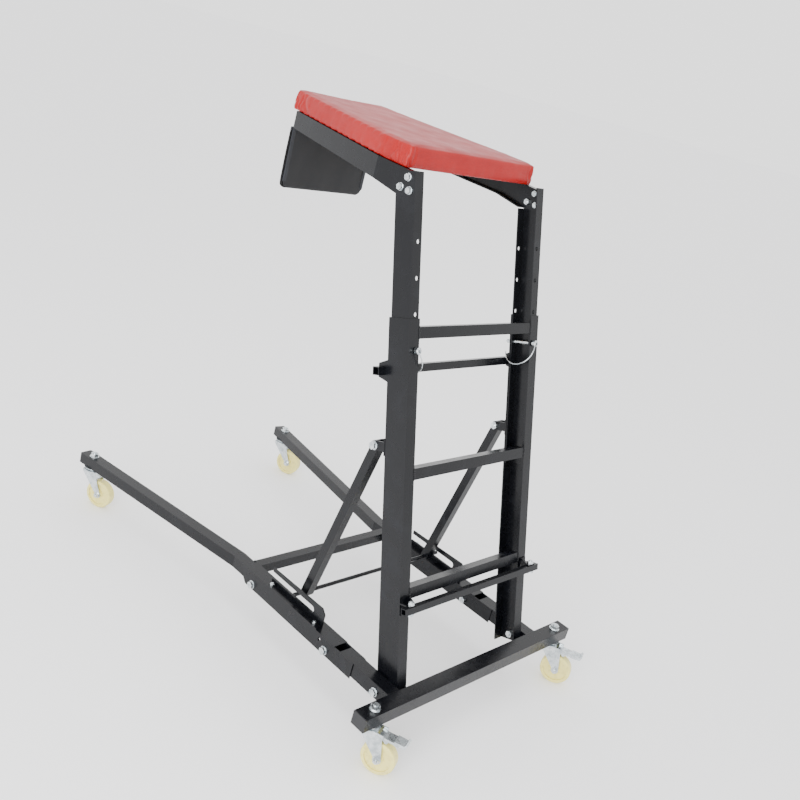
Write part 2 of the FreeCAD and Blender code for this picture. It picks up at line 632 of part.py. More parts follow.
def handle():
    """Square bar behind the ladder, through two ears on the uprights."""
    middle = UPRIGHT_WEB + HANDLE_STANDOFF
    half = HANDLE_BAR / 2
    ear_wall = 4.0
    x1 = LADDER_HALF - 1
    ear = side_profile([
        (UPRIGHT_WEB, HANDLE_HEIGHT - 24), (UPRIGHT_WEB, HANDLE_HEIGHT + 24),
        (middle + half + 3, HANDLE_HEIGHT + 15), (middle + half + 3, HANDLE_HEIGHT - 15),
    ], x1 - ear_wall, x1)
    gap = 0.2
    ear = ear.cut(box(x1 - ear_wall - 1, x1 + 1, middle - half - gap, middle + half + gap,
                      HANDLE_HEIGHT - half - gap, HANDLE_HEIGHT + half + gap))
    end = LADDER_HALF + HANDLE_OVERHANG
    bar = box(-end, end, middle - half, middle + half, HANDLE_HEIGHT - half, HANDLE_HEIGHT + half)
    w = TUBE_WALL
    bar = bar.cut(box(-end - 1, end + 1, middle - half + w, middle + half - w,
                      HANDLE_HEIGHT - half + w, HANDLE_HEIGHT + half - w))
    parts["handle_bar"] = on_ladder(bar)
    parts["handle_ears"] = Part.makeCompound([on_ladder(sided(ear, s)) for s in SIDES.values()])


def clevises():
    """U-brackets behind the uprights, and the bolts the struts hang on."""
    back = UPRIGHT_WEB + STRUT_TOP_BACK
    inside = STRUT / 2 + 0.4
    outer = inside + CLEVIS_WALL
    radius = 11.0
    cheek = box(STRUT_X - outer, STRUT_X - inside, UPRIGHT_WEB, back, STRUT_TOP_S - radius, STRUT_TOP_S + radius)
    cheek = cheek.fuse(rod(STRUT_X - outer, back, STRUT_TOP_S, (1, 0, 0), CLEVIS_WALL, 2 * radius))
    other = cheek.copy()
    other.translate(V(inside + outer, 0, 0))
    web = box(STRUT_X - outer, STRUT_X + outer, UPRIGHT_WEB, UPRIGHT_WEB + CLEVIS_WALL,
              STRUT_TOP_S - radius - 8, STRUT_TOP_S + radius + 8)
    bracket = fused(cheek, other, web)
    reach = 2 * outer + 4
    bracket = bracket.cut(rod(STRUT_X - reach / 2, back, STRUT_TOP_S, (1, 0, 0), reach, BOLT_D + BOLT_CLEARANCE))
    bolts = bolt_and_nut(STRUT_X + outer, back, STRUT_TOP_S, (-1, 0, 0), 2 * outer, BOLT_D)
    parts["strut_clevises"] = Part.makeCompound([on_ladder(sided(bracket, s)) for s in SIDES.values()])
    group = [on_ladder(sided(solid, s)) for s in SIDES.values() for solid in bolts]
    parts["clevis_bolts"] = Part.makeCompound(group)


def struts():
    top_y, top_z = ladder_point(UPRIGHT_WEB + STRUT_TOP_BACK, STRUT_TOP_S)
    foot_z = BASE_TOP + STRUT_FOOT_RISE
    length = hypot(top_y - STRUT_FOOT_Y, top_z - foot_z)
    half = STRUT / 2
    tube = box(STRUT_X - half, STRUT_X + half, -half, half, 0, length)
    for z in (0, length):
        tube = tube.fuse(rod(STRUT_X - half, 0, z, (1, 0, 0), STRUT, STRUT))
    w = TUBE_WALL
    tube = tube.cut(box(STRUT_X - half + w, STRUT_X + half - w, w - half, half - w, -half - 1, length + half + 1))
    tube = tube.cut(rod(STRUT_X - half - 1, 0, length, (1, 0, 0), STRUT + 2, BOLT_D + PIVOT_CLEARANCE))
    tube = tube.cut(rod(STRUT_X - half - 1, 0, 0, (1, 0, 0), STRUT + 2, TIE_ROD_D + 0.1))
    turn = degrees(atan2(STRUT_FOOT_Y - top_y, top_z - foot_z))
    tube.rotate(V(0, 0, 0), V(1, 0, 0), turn)
    tube.translate(V(0, STRUT_FOOT_Y, foot_z))
    for name, side in SIDES.items():
        parts["strut_" + name] = sided(tube, side)
    end = PLATE_X + PLATE_WALL / 2 + TIE_ROD_OVERHANG
    tie = rod(-end, STRUT_FOOT_Y, foot_z, (1, 0, 0), 2 * end, TIE_ROD_D)
    parts["tie_rod"] = tie.makeChamfer(1.0, [e for e in tie.Edges if e.Curve.TypeId == "Part::GeomCircle"])


# ---------------------------------------------------------------- upper frame
def inner_channels():
    outer_x = LADDER_HALF - UPRIGHT_WALL - SLIDE_FIT
    web_x = outer_x - UPRIGHT_WALL
    edge = LADDER_HALF - UPRIGHT_FLANGE + 1
    y0 = UPRIGHT_WALL + SLIDE_FIT
    y1 = UPRIGHT_WEB - UPRIGHT_WALL - SLIDE_FIT
    solid = channel(outer_x, web_x, edge, y0, y1, UPRIGHT_WALL, INNER_BOTTOM, INNER_TOP)
    cut = box(edge - 1, web_x, y1 - UPRIGHT_WALL - 1, y1 + 1, INNER_BACK_TOP, INNER_TOP + 1)
    solid = solid.cut(cut)
    for k in range(-HOLES_EACH_WAY, HOLES_EACH_WAY + 1):
        z = HOLE_S + k * HOLE_PITCH
        solid = solid.cut(rod(LADDER_HALF - HOLE_X, -1, z, (0, 1, 0), UPRIGHT_WEB + 2, LOCK_HOLE_D))
    for forward, up in arm_bolt_places():
        solid = solid.cut(rod(web_x - 1, forward, up, (1, 0, 0), UPRIGHT_WALL + 2, SMALL_BOLT_D + BOLT_CLEARANCE))
    for name, side in SIDES.items():
        parts["inner_channel_" + name] = on_ladder(sided(solid, side))


def arm_bolt_places():
    """The three bolts of an arm, in the ladder's frame."""
    middle = UPRIGHT_WEB / 2
    return [(middle - 8.5, INNER_TOP - 12), (middle + 13.5, INNER_TOP - 30), (middle - 11.5, INNER_TOP - 39)]


def arm_outer_x():
    return LADDER_HALF - 2 * UPRIGHT_WALL - SLIDE_FIT - 0.1


def pad_place():
    """Y and Z of the near edge of the pad's underside."""
    y, z = ladder_point(0, INNER_TOP)
    return y + PAD_AHEAD, z - PAD_DROP


def arm_places():
    """Y of an arm's bend and of its far end."""
    near = pad_place()[0]
    return near + ARM_BEND_FROM_PAD, near + ARM_END_FROM_PAD


def under_pad(y):
    """World height of the pad's underside at a given Y."""
    near, low = pad_place()
    return low + (y - near) * tan(radians(PAD_TILT))


def arm_edges():
    """Upper and lower edges of an arm in Y and Z, from the ladder to the far end."""
    start = UPRIGHT_WALL + SLIDE_FIT + UPRIGHT_WALL + 0.3
    low_near = ladder_point(start, INNER_TOP - 56)
    low_back = ladder_point(UPRIGHT_WEB, INNER_BACK_TOP + 3)
    top_y = ladder_point(start, INNER_TOP - 4)[0]
    bend, end = arm_places()
    top = [(y, under_pad(y) - 0.4) for y in (top_y, bend, end)]
    low = [low_near, low_back]
    low.append((bend, top[1][1] - ARM_BEND_DEPTH))
    low.append((end, top[2][1] - ARM_END_DEPTH))
    return top, low


def arms():
    """Channels that carry the pad; each turns inward ahead of its bend."""
    outer = arm_outer_x()
    bend, end = arm_places()
    drift = (end - bend) * tan(radians(ARM_TURN))
    line = [(outer, PIVOT_Y), (outer, bend), (outer - drift, end)]
    top, low = arm_edges()
    z0, z1 = low[0][1] - 50, top[-1][1] + 50
    web = plan_strip(line, -ARM_WALL, 0, z0, z1).common(side_profile(top + low[::-1], 0, 300))
    wide = plan_strip(line, -ARM_FLANGE, 0, z0, z1)
    deep = [(y, z - ARM_WALL) for y, z in top]
    upper = wide.common(side_profile(top + deep[::-1], 0, 300))
    raised = [(y, z + ARM_WALL) for y, z in low[1:]]
    lower = wide.common(side_profile(low[1:] + raised[::-1], 0, 300))
    arm = fused(web, upper, lower)
    front = on_ladder(box(0, 300, -50, UPRIGHT_WALL + SLIDE_FIT + UPRIGHT_WALL + 0.3, 900, 1300))
    arm = arm.cut(front)
    bolts = []
    for forward, up in arm_bolt_places():
        hole = rod(outer - 10, forward, up, (1, 0, 0), 20, SMALL_BOLT_D + BOLT_CLEARANCE)
        arm = arm.cut(on_ladder(hole))
        web_outer = LADDER_HALF - UPRIGHT_WALL - SLIDE_FIT
        grip = web_outer - outer + ARM_WALL
        for solid in bolt_and_nut(web_outer, forward, up, (-1, 0, 0), grip, SMALL_BOLT_D, 0.8):
            bolts.append(on_ladder(solid))
    for name, side in SIDES.items():
        parts["arm_" + name] = sided(arm, side)
    parts["arm_bolts"] = Part.makeCompound(bolts + [mirrored(solid) for solid in bolts])
    y1 = end
    z1 = under_pad(y1 - PAD_CROSSBAR) - 0.5 - ARM_WALL
    w = TUBE_WALL
    bar = box(-outer, outer, y1 - PAD_CROSSBAR, y1, z1 - PAD_CROSSBAR, z1)
    bar = bar.cut(box(-outer - 1, outer + 1, y1 - PAD_CROSSBAR + w, y1 - w, z1 - PAD_CROSSBAR + w, z1 - w))
    beyond = [line[0], line[1], (outer - 2 * drift, 2 * end - bend)]
    between = plan_strip(beyond, -2 * outer, -ARM_WALL, z0, z1 + 50)
    parts["pad_crossbar"] = bar.common(between).common(mirrored(between))


def pad_ring(inset, z):
    """Outline of the pad in its own frame, moved inward. Its sides follow the arms."""
    far_half = PAD_HALF - (PAD_LENGTH - PAD_TAPER_AT) * tan(radians(ARM_TURN))
    ring = [
        (-PAD_HALF + inset, inset), (PAD_HALF - inset, inset), (PAD_HALF - inset, PAD_TAPER_AT),
        (far_half - inset, PAD_LENGTH - inset), (-far_half + inset, PAD_LENGTH - inset),
        (-PAD_HALF + inset, PAD_TAPER_AT),
    ]
    points = [V(x, y, z) for x, y in ring]
    return Part.Face(Part.makePolygon(points + points[:1]))


def at_pad(solid):
    """Carry a solid from the pad's frame, flat and starting at the near edge, to its place."""
    solid.rotate(V(0, 0, 0), V(1, 0, 0), PAD_TILT)
    solid.translate(V(0, *pad_place()))
    return solid


def pad():
    body = pad_ring(0, 0).extrude(V(0, 0, PAD_THICK))
    upright = [e for e in body.Edges if abs(abs(e.tangentAt(0).z) - 1) < 1e-6]
    body = body.makeFillet(PAD_CORNER, upright)
    rim = [e for e in body.Edges if e.BoundBox.ZMin > PAD_THICK - 0.01]
    body = body.makeFillet(PAD_RIM, rim)
    body = body.cut(pad_ring(BOARD_INSET, -1).extrude(V(0, 0, BOARD_THICK + 1)))
    parts["pad"] = at_pad(body)
    board = pad_ring(BOARD_INSET + 0.3, 0).extrude(V(0, 0, BOARD_THICK - 0.3))
    parts["pad_board"] = at_pad(board)


def pouch():
    """Open-topped pocket that hangs from the crossbar at the pad's far end."""
    end = arm_places()[1]
    y0 = end + POUCH_BEHIND
    y1 = y0 + POUCH_DEPTH
    w = POUCH_WALL
    top = under_pad(end) - POUCH_HANG
    low = top - POUCH_HEIGHT
    pocket = box(-POUCH_HALF, POUCH_HALF, y0, y1, low, top - POCKET_LOWER)
    pocket = pocket.cut(box(-POUCH_HALF + w, POUCH_HALF - w, y0 + w, y1 - w, low + w, top))
    back = box(-POUCH_HALF + 6, POUCH_HALF - 6, y0, y0 + w, low + w, top)
    parts["pouch"] = fused(pocket, back)


def lock_pins():
    """Wire-lock pins through both flanges, each with a wire bail from head to tip."""
    x = LADDER_HALF - HOLE_X
    head = rod(x, -12, HOLE_S, (0, 1, 0), 11.5, 15)
    head = head.makeChamfer(1.5, [e for e in head.Edges if e.Curve.TypeId == "Part::GeomCircle"])
    shank = rod(x, -2, HOLE_S, (0, 1, 0), UPRIGHT_WEB + 14, LOCK_PIN_D)
    tip = Part.makeCone(LOCK_PIN_D / 2, LOCK_PIN_D / 2 - 2.5, 4, V(x, UPRIGHT_WEB + 12, HOLE_S), V(0, 1, 0))
    pin = fused(head, shank, tip).cut(turned_with_bail(bail_eye_room(), x))
    middle = (BAIL_EYE_Y + UPRIGHT_WEB + 6.0) / 2
    half_span = middle - BAIL_EYE_Y
    radius = (half_span ** 2 + BAIL_DROP ** 2) / (2 * BAIL_DROP)
    above_centre = BAIL_DROP - radius - BAIL_END_DROP
    far = middle + (radius ** 2 - above_centre ** 2) ** 0.5
    arc = Part.Arc(V(0, BAIL_EYE_Y, 0), V(0, middle, -BAIL_DROP), V(0, far, -BAIL_END_DROP)).toShape()
    along = arc.tangentAt(arc.FirstParameter)
    ring = Part.Wire([Part.makeCircle(BAIL_WIRE / 2, V(0, BAIL_EYE_Y, 0), along)])
    wire = Part.Wire([arc]).makePipeShell([ring], True, True)
    eye = rod(-5, BAIL_EYE_Y, 0, (1, 0, 0), 10, BAIL_WIRE + 0.6)
    end = Part.makeSphere(BAIL_WIRE / 2 + 0.4, V(0, far, -BAIL_END_DROP))
    bail = turned_with_bail(fused(wire, eye, end), x)
    for name, side in SIDES.items():
        parts["lock_pin_" + name] = on_ladder(sided(pin, side))
        parts["bail_" + name] = on_ladder(sided(bail, side))


def turned_with_bail(solid, x):
    """Carry a solid from the bail's own frame to its pin on the ladder."""
    solid = solid.copy()
    solid.rotate(V(0, 0, 0), V(0, 1, 0), BAIL_TURN)
    solid.translate(V(x, 0, HOLE_S))
    return solid


def bail_eye_room():
    """Cross hole in the pin's head for the bail's eye, and a slot where it swings."""
    eye = BAIL_WIRE + 0.6
    room = BAIL_WIRE + 1.2
    hole = rod(-10, BAIL_EYE_Y, 0, (1, 0, 0), 20, eye + PIVOT_CLEARANCE)
    slot = box(-room / 2, room / 2, -13, BAIL_EYE_Y + room, -12, room / 2)
    return hole.fuse(slot)


# ---------------------------------------------------------------- all
def build():
    rear_crossbar()
    stub()
    rail()
    leg()
    cross_tube()
    slot_bracket()
    base_bolts()
    casters()
    uprights()
    rungs()
    step()
    handle()
    clevises()
    struts()
    inner_channels()
    arms()
    pad()
    pouch()
    lock_pins()


build()
os.makedirs("parts", exist_ok=True)
for node, shape in parts.items():
    shape.translate(V(0, -MIDDLE_Y, 0))
    shape.exportStep("parts/" + node + ".step")
print(len(parts), "nodes")
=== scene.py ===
"""Foldable topside creeper: finishes, soft goods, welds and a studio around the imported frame."""
import json
from math import atan2, cos, exp, hypot, pi, radians, sin

import bmesh
import bpy
from bpy.props import FloatProperty, FloatVectorProperty, IntProperty, PointerProperty, StringProperty
from bpy.types import Operator, Panel, PropertyGroup
from mathutils import Matrix, Vector, noise


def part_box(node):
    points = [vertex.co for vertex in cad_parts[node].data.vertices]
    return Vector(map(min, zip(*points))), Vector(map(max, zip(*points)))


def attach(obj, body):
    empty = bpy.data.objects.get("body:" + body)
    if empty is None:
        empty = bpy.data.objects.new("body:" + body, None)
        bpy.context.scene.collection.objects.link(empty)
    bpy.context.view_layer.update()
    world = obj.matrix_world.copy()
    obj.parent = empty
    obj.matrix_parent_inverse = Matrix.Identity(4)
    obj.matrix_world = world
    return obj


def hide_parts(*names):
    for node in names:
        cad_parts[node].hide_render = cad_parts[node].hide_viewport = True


bl_info = {
    "name": "Foldable topside creeper",
    "version": (1, 0, 0),
    "blender": (4, 5, 0),
    "location": "3D View > Sidebar > Creeper",
    "description": "Finishes, padded deck, tool pouch and welds of a foldable topside creeper",
    "category": "Object",
}

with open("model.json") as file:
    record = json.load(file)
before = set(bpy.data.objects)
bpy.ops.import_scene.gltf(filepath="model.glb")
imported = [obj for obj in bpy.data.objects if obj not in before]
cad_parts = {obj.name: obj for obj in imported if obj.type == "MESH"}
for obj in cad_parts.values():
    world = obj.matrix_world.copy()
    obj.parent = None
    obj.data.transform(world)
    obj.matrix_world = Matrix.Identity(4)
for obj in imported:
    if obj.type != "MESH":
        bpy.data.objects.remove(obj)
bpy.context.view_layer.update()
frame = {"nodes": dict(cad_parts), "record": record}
MM = 0.001


# ------------------------------------------------------------ values the user may change
def colour_value(name, description, default):
    return StringProperty(name=name, description=description, default=default)


class FinishValues(PropertyGroup):
    """Colours, as sRGB hex, and the sizes of the patterns in each finish."""

    paint: colour_value("Powder coat", "Semi-gloss black on all tube and channel", "#07080C")
    paint_dust: colour_value("Handling marks", "Greyer rubbed patches of the coat", "#16181D")
    zinc: colour_value("Zinc plate", "Bright plating on casters", "#D3D9DC")
    zinc_dull: colour_value("Dulled zinc", "Where the plating has spangled or dulled", "#A3ABAF")
    bolt: colour_value("Bolt zinc", "Brighter plating on nuts, bolts, pins and wire", "#DDE1E3")
    nylon: colour_value("Cast nylon", "Translucent cream of the wheels", "#E6DB86")
    nylon_dirt: colour_value("Tread dirt", "Floor dust pressed into the tread", "#B9AC68")
    plug: colour_value("Polyethylene", "Moulded tube plugs", "#141416")
    vinyl: colour_value("Vinyl", "Red upholstery vinyl", "#9E0201")
    # The second vinyl colour is painted shade in the crevices between the grain's pebbles, also used for a faint
    # random darker tone
    vinyl_shade_and_tone: colour_value("Vinyl creases", "Vinyl in its grain and folds", "#6A0201")
    nylon_cloth: colour_value("Pouch cloth", "Black woven nylon, threads", "#14171F")
    # nylon_shadow is painted shade in the gaps of the pouch's weave and of the stitches' thread
    nylon_shadow: colour_value("Pouch weave", "Gaps between the threads", "#07080B")
    # The tape colour serves as the painted shade in the gaps of the binding's weave; the binding's threads take the
    # thread colour
    tape: colour_value("Binding tape", "Folded tape on the pouch's edges", "#15171C")
    thread: colour_value("Thread", "Stitching of pouch and binding", "#3A3E48")
    wood: colour_value("Plywood", "Face veneer of the deck's board", "#A98453")
    wood_dark: colour_value("Plywood grain", "Darker bands of the veneer", "#7B5B36")
    peel: FloatProperty(name="Orange peel", description="Size of the coat's ripples, in mm",
                        default=2.2, min=0.5, max=10)
    grain: FloatProperty(name="Vinyl grain", description="Size of the vinyl's pebbles, in mm",
                         default=1.6, min=0.3, max=8)
    weave: FloatProperty(name="Weave", description="Thread spacing of the pouch cloth, in mm",
                         default=1.2, min=0.3, max=5)


class PadValues(PropertyGroup):
    """The padded deck."""

    voxel: FloatProperty(name="Mesh size", description="Spacing of the cover's mesh before subdivision",
                         default=0.005, min=0.003, max=0.01, unit="LENGTH")
    slack: FloatProperty(name="Shrink", description="How far the cover starts inside its full size",
                         default=0.002, min=0.0, max=0.01, unit="LENGTH")
    pressure: FloatProperty(name="Foam pressure", description="Push of the foam on its cover",
                            default=4.0, min=0.0, max=20.0)
    swell: FloatProperty(name="Largest swell", description="Most that any point of the cover may move",
                         default=0.003, min=0.0, max=0.03, unit="LENGTH")
    frames: IntProperty(name="Settling frames", description="Steps of the cover's settling", default=20, min=2)
    fold: FloatProperty(name="Corner folds", description="Depth of the tucked folds at the corners",
                        default=0.0036, min=0.0, max=0.01, unit="LENGTH")
    pull: FloatProperty(name="Staple pulls", description="Depth of the dimples pulled by staples along the sides",
                        default=0.0007, min=0.0, max=0.005, unit="LENGTH")


class PouchValues(PropertyGroup):
    """The sewn tool pouch."""

    pocket_drop: FloatProperty(name="Pocket drop", description="Pocket's rim below the back panel's top",
                               default=0.028, min=0.0, unit="LENGTH")
    cloth: FloatProperty(name="Cloth", description="Thickness of the woven cloth",
                         default=0.0014, min=0.0005, unit="LENGTH")
    sag: FloatProperty(name="Sag", description="How far the pocket's rim sags between its corners",
                       default=0.005, min=0.0, unit="LENGTH")
    tape: FloatProperty(name="Tape", description="Width of the binding on each side of the edge",
                        default=0.009, min=0.002, unit="LENGTH")
    corner: FloatProperty(name="Lower corners", description="Rounding of the pouch's lower corners",
                          default=0.018, min=0.001, unit="LENGTH")
    stitch: FloatProperty(name="Stitch", description="Length of one stitch",
                          default=0.0032, min=0.001, unit="LENGTH")


class WeldValues(PropertyGroup):
    """Weld beads of the frame."""

    bead: FloatProperty(name="Bead", description="Half width of a weld bead",
                        default=0.0024, min=0.0005, unit="LENGTH")
    ripple: FloatProperty(name="Ripple", description="Spacing of a bead's ripples",
                          default=0.0034, min=0.001, unit="LENGTH")


class StageValues(PropertyGroup):
    """Floor, light and camera."""

    floor: colour_value("Floor", "Plain pale floor", "#FBFBFC")
    key_power: FloatProperty(name="Key light", description="Power of the large soft light overhead",
                             default=20.0, min=0.0, unit="POWER")
    side_power: FloatProperty(name="Side light", description="Power of the soft light beside the camera",
                              default=120.0, min=0.0, unit="POWER")
    sky: FloatProperty(name="Surroundings", description="Brightness of the white surroundings",
                       default=2.0, min=0.0)
    camera_at: FloatVectorProperty(name="Camera", description="Where the camera stands", size=3,
                                   default=(-1.6389, -1.5162, 1.4079), subtype="TRANSLATION", unit="LENGTH")
    azimuth: FloatProperty(name="Azimuth", description="Camera's turn from +Y", default=radians(-49.82),
                           subtype="ANGLE")
    elevation: FloatProperty(name="Elevation", description="Camera's dip below the horizon",
                             default=radians(19.94), subtype="ANGLE")
    roll: FloatProperty(name="Roll", description="Camera's roll about its line of sight",
                        default=radians(15.3), subtype="ANGLE")
    lens: FloatProperty(name="Lens", description="Focal length for a 36 mm wide sensor, in mm", default=41.98)


# ------------------------------------------------------------ colour, nodes, mesh helpers
def linear(hex_colour):
    """sRGB hex to linear RGBA."""
    values = [int(hex_colour[i:i + 2], 16) / 255 for i in (1, 3, 5)]
    return [v / 12.92 if v <= 0.04045 else ((v + 0.055) / 1.055) ** 2.4 for v in values] + [1.0]


def add(tree, kind, inputs=None, **settings):
    """One shader node, with its settings, and its sockets linked or set."""
    node = tree.nodes.new(kind)
    for name, value in settings.items():
        setattr(node, name, value)
    for name, value in (inputs or {}).items():
        if isinstance(value, bpy.types.NodeSocket):
            tree.links.new(value, node.inputs[name])
        else:
            node.inputs[name].default_value = value
    return node


def new_material(name, **uniform):
    """A material with one shader, its uniform values set on the shader itself."""
    material = bpy.data.materials.new(name)
    material.use_nodes = True
    shader = material.node_tree.nodes["Principled BSDF"]
    for key, value in uniform.items():
        shader.inputs[key.replace("_", " ")].default_value = value
    return material, material.node_tree, shader


def every(mm):
    """Texture scale of a pattern that repeats about every so many millimetres."""
    return 1000.0 / mm


def grain(tree, where, mm, detail=3.0, roughness=0.55):
    return add(tree, "ShaderNodeTexNoise", {
        "Vector": where, "Scale": every(mm), "Detail": detail, "Roughness": roughness}).outputs["Fac"]


def spread(tree, value, low, high, to_low=0.0, to_high=1.0):
    """Stretches part of a pattern's range over another range."""
    return add(tree, "ShaderNodeMapRange", {
        "Value": value, "From Min": low, "From Max": high, "To Min": to_low, "To Max": to_high}).outputs["Result"]


def two_tones(tree, factor, first, second):
    mix = add(tree, "ShaderNodeMix", {"Factor": factor}, data_type="RGBA")
    mix.inputs[6].default_value = linear(first)
    mix.inputs[7].default_value = linear(second)
    return mix.outputs[2]


def raised(tree, shader, height, mm, strength=1.0, under=None):
    """Bump of a height in millimetres, laid over another bump if there is one."""
    inputs = {"Height": height, "Distance": mm * MM, "Strength": strength}
    if under is not None:
        inputs["Normal"] = under
    bump = add(tree, "ShaderNodeBump", inputs)
    tree.links.new(bump.outputs["Normal"], shader.inputs["Normal"])
    return bump.outputs["Normal"]


def place_in(tree):
    return add(tree, "ShaderNodeTexCoord").outputs["Object"]


def new_piece(name, mesh, material, body, smooth=True):
    """A finished piece that moves with a body."""
    piece = bpy.data.objects.new(name, mesh)
    bpy.context.scene.collection.objects.link(piece)
    if material is not None:
        mesh.materials.clear()
        mesh.materials.append(material)
    mesh.polygons.foreach_set("use_smooth", [smooth] * len(mesh.polygons))
    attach(piece, body)
    return piece


def mesh_of(name, points, faces):
    mesh = bpy.data.meshes.new(name)
    mesh.from_pydata([tuple(p) for p in points], [], faces)
    mesh.update()
    return mesh


def add_tube(points, faces, line, rings, closed=False):
    """Adds a tube whose ring of offsets (across, up) is given for each point of a line."""
    count = len(line)
    first = len(points)
    sides = len(rings[0])
    for i, here in enumerate(line):
        before = line[i - 1] if i or closed else line[0]
        after = line[(i + 1) % count] if i < count - 1 or closed else line[-1]
        along = (after - before).normalized()
        up = Vector((0, 0, 1)) if abs(along.z) < 0.9 else Vector((0, 1, 0))
        across = along.cross(up).normalized()
        up = across.cross(along)
        points += [here + across * a + up * b for a, b in rings[i]]
    spans = count if closed else count - 1
    for i in range(spans):
        low, high = first + i * sides, first + (i + 1) % count * sides
        for k in range(sides):
            faces.append((low + k, low + (k + 1) % sides, high + (k + 1) % sides, high + k))
    if not closed:
        faces.append(tuple(first + k for k in reversed(range(sides))))
        faces.append(tuple(first + (count - 1) * sides + k for k in range(sides)))


def paint_nodes(material, *names):
    for name in names:
        slots = frame["nodes"][name].data.materials
        slots.clear()
        slots.append(material)


def nodes_of_slot(slot):
    return [part["node"] for part in frame["record"]["subparts"] if part["material_slot"] == slot]


def joint(name):
    return next(j for j in frame["record"]["behaviour"]["joints"] if j["name"] == name)


LADDER_UP = Vector(joint("height_slide")["axis"])
LADDER_AHEAD = Vector((0, LADDER_UP.z, -LADDER_UP.y))
LADDER_FOOT = Vector(joint("ladder_fold")["pos_m"])


def on_ladder(x, ahead, up):
    """Place of a point given across, ahead of the uprights' middle and up from the foot pivot."""
    return Vector((x, 0, 0)) + LADDER_FOOT + LADDER_AHEAD * ahead + LADDER_UP * up


def ladder_box(node):
    """Lowest and highest corner of a node in the ladder's own directions."""
    spots = [v.co - LADDER_FOOT for v in frame["nodes"][node].data.vertices]
    spots = [(p.x, p.dot(LADDER_AHEAD), p.dot(LADDER_UP)) for p in spots]
    return [min(p[i] for p in spots) for i in range(3)], [max(p[i] for p in spots) for i in range(3)]


# ------------------------------------------------------------ finishes
def black_powder_coat(finish):
    """Polyester powder coat over steel: near-black, semi-gloss, softly rippled, rubbed here and there."""
    material, tree, shader = new_material("black powder coated steel", IOR=1.5, Specular_IOR_Level=0.26)
    where = place_in(tree)
    rubbed = spread(tree, grain(tree, where, 70, 4.0, 0.6), 0.52, 0.72)
    scuff = spread(tree, grain(tree, where, 9, 6.0, 0.7), 0.62, 0.70)
    mask = add(tree, "ShaderNodeMath", {0: rubbed, 1: scuff}, operation="MAXIMUM").outputs[0]
    mask = add(tree, "ShaderNodeMath", {0: mask, 1: 0.55}, operation="MULTIPLY").outputs[0]
    tree.links.new(two_tones(tree, mask, finish.paint, finish.paint_dust), shader.inputs["Base Color"])
    gloss = spread(tree, grain(tree, where, 35, 4.0), 0.3, 0.75, 0.20, 0.34)
    tree.links.new(gloss, shader.inputs["Roughness"])
    # the ripple of a baked coat is about 1 mm; drawn at 2.2 mm so that it shows
    raised(tree, shader, grain(tree, where, finish.peel, 2.0), 0.05, 0.5)
    return material


def zinc_plate(name, bright, dull, roughness, mm):
    """Electroplated zinc on pressed steel: grey-white metal with cloudy, duller patches."""
    material, tree, shader = new_material(name, Metallic=1.0)
    where = place_in(tree)
    cloud = spread(tree, grain(tree, where, mm, 5.0, 0.6), 0.40, 0.68)
    tree.links.new(two_tones(tree, cloud, bright, dull), shader.inputs["Base Color"])
    polish = spread(tree, grain(tree, where, mm / 2, 4.0), 0.3, 0.7, roughness - 0.07, roughness + 0.12)
    tree.links.new(polish, shader.inputs["Roughness"])
    raised(tree, shader, grain(tree, where, 1.4, 4.0), 0.04, 0.4)
    return material


def cast_nylon(finish):
    """Cast nylon wheel: waxy cream that lets a little light in, dusty and scuffed on the tread."""
    material, tree, shader = new_material("cast nylon", IOR=1.53, Subsurface_Weight=0.25, Subsurface_Scale=0.004)
    shader.inputs["Subsurface Radius"].default_value = (1.0, 0.85, 0.5)
    where = place_in(tree)
    dirt = spread(tree, grain(tree, where, 11, 6.0, 0.65), 0.50, 0.74, 0.0, 0.65)
    tree.links.new(two_tones(tree, dirt, finish.nylon, finish.nylon_dirt), shader.inputs["Base Color"])
    tree.links.new(spread(tree, dirt, 0.0, 0.65, 0.32, 0.62), shader.inputs["Roughness"])
    raised(tree, shader, grain(tree, where, 1.5, 5.0), 0.06, 0.5)
    return material


def moulded_polyethylene(finish):
    """Low-gloss black tube plug with a fine spark-eroded texture."""
    material, tree, shader = new_material("moulded polyethylene", IOR=1.51)
    where = place_in(tree)
    tone = spread(tree, grain(tree, where, 14, 3.0), 0.35, 0.7)
    tree.links.new(two_tones(tree, tone, finish.plug, finish.paint_dust), shader.inputs["Base Color"])
    tree.links.new(spread(tree, tone, 0, 1, 0.5, 0.62), shader.inputs["Roughness"])
    raised(tree, shader, grain(tree, where, 0.9, 2.0), 0.08, 0.6)
    return material


def upholstery_vinyl(finish):
    """Calendered PVC upholstery: saturated red with a soft sheen and a pebbled, leather-like grain, with painted
    shade in the crevices between the pebbles.
    """
    material, tree, shader = new_material("upholstery vinyl", IOR=1.53, Specular_IOR_Level=0.3)
    where = place_in(tree)
    pebbles = add(tree, "ShaderNodeTexVoronoi", {
        "Vector": where, "Scale": every(finish.grain), "Smoothness": 0.6}, feature="SMOOTH_F1").outputs["Distance"]
    # Painted shade: the crevices between the pebbles, which the bump below sets low, are drawn in the darker colour
    crease_shade = spread(tree, pebbles, 0.25, 0.75, 0.0, 0.45)
    tone = spread(tree, grain(tree, where, 120, 3.0), 0.35, 0.7, 0.0, 0.18)
    shade_and_tone = add(tree, "ShaderNodeMath", {0: crease_shade, 1: tone}, operation="ADD").outputs[0]
    tree.links.new(two_tones(tree, shade_and_tone, finish.vinyl, finish.vinyl_shade_and_tone), shader.inputs["Base Color"])
    tree.links.new(spread(tree, grain(tree, where, 60, 4.0), 0.3, 0.7, 0.36, 0.5), shader.inputs["Roughness"])
    soft = raised(tree, shader, grain(tree, where, 24, 3.0), 0.5, 0.35)
    flipped = spread(tree, pebbles, 0.0, 1.0, 1.0, 0.0)
    raised(tree, shader, flipped, 0.12, 0.55, under=soft)
    return material


